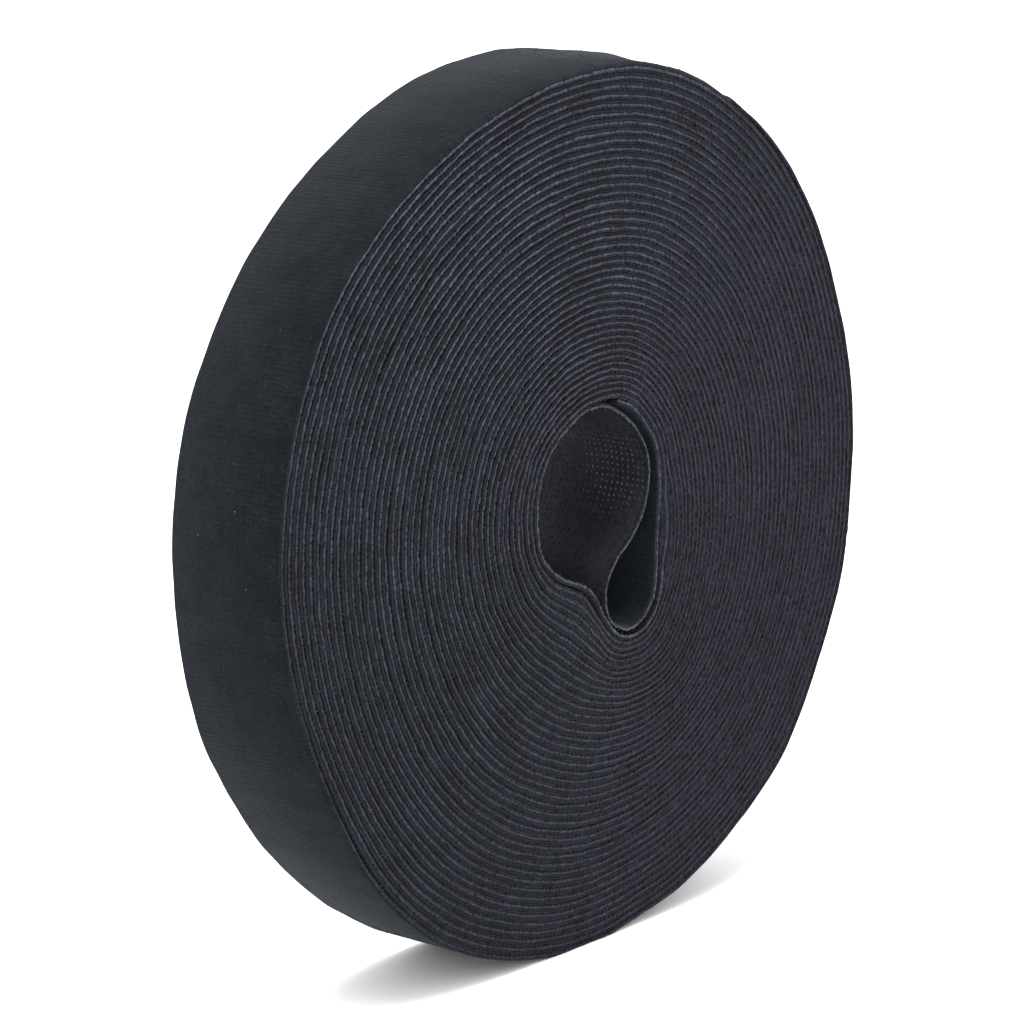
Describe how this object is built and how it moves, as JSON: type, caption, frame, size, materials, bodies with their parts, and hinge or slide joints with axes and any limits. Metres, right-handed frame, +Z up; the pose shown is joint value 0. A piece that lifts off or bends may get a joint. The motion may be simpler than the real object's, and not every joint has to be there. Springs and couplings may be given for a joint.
{
  "type": "hook and loop tape roll",
  "caption": "Coreless roll of back-to-back hook and loop tape, wound flat with its inner end folded back and its outer end free to peel.",
  "frame": {"origin": "middle of the roll's bounding box at the level of the surface it stands on", "axes": "roll axis along Y, front face toward -Y, +Z up; the tape winds outward counter-clockwise as seen from the front"},
  "size_m": [0.1298, 0.02, 0.1268],
  "materials": {
    "hook_fabric": "charcoal nylon, rows of fine moulded hooks on a woven ground, faint sheen",
    "loop_fabric": "charcoal brushed nylon pile with fine cross ribs, matt"
  },
  "bodies": {
    "roll": {"hook_ply": "hook_fabric", "loop_ply": "loop_fabric"},
    "tail": {"tail_hook_ply": "hook_fabric", "tail_loop_ply": "loop_fabric"}
  },
  "joints": [
    {"name": "tail_peel", "type": "hinge", "parent": "roll", "child": "tail", "pos_m": [0.06282, 0, 0.08098], "axis": [0, 1, 0], "range_deg": [0, 120]}
  ]
}
